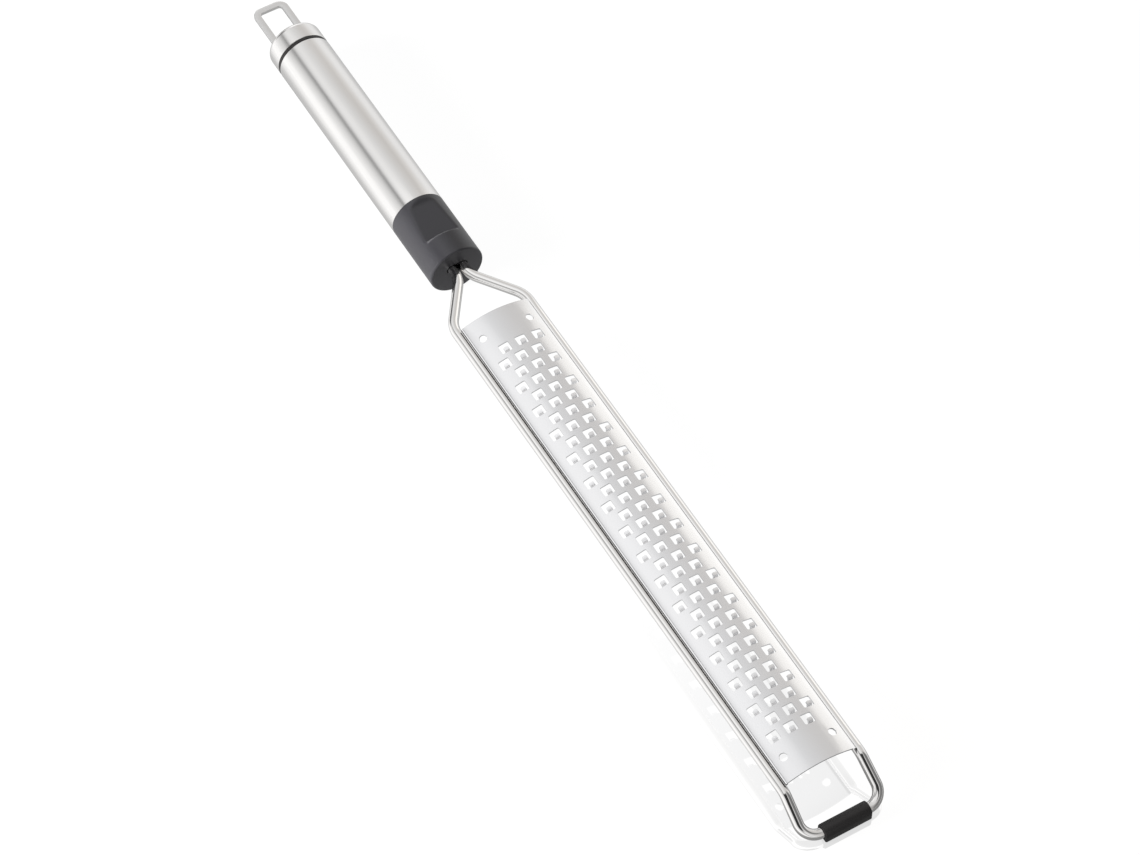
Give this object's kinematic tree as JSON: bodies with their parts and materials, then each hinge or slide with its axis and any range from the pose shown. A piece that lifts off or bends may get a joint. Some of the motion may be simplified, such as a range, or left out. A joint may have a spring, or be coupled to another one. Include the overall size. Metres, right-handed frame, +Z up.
{
  "type": "grater",
  "caption": "Long hand grater with an arched perforated steel blade on a bent wire frame, round steel handle, black thumb-rest collar, hanging loop and rubber foot",
  "frame": {"origin": "centre of the bounding box on the table the grater lies on", "axes": "+X from the hanging loop to the foot, +Y across the blade, +Z up from the table"},
  "size_m": [0.4002, 0.0336, 0.021],
  "materials": {
    "handle_steel": "brushed",
    "blade_steel": "satin",
    "wire_steel": "polished",
    "anchor_steel": "plain",
    "collar_plastic": "satin",
    "plug_plastic": "moulded",
    "black_rubber": "matte"
  },
  "bodies": {
    "root": {"handle_tube": "handle_steel", "collar": "collar_plastic", "seal_ring": "black_rubber", "end_cap": "handle_steel", "end_plug": "plug_plastic", "hang_loop": "handle_steel", "wire_frame": "wire_steel", "wire_anchor": "anchor_steel", "blade": "blade_steel", "foot": "black_rubber"}
  },
  "joints": []
}
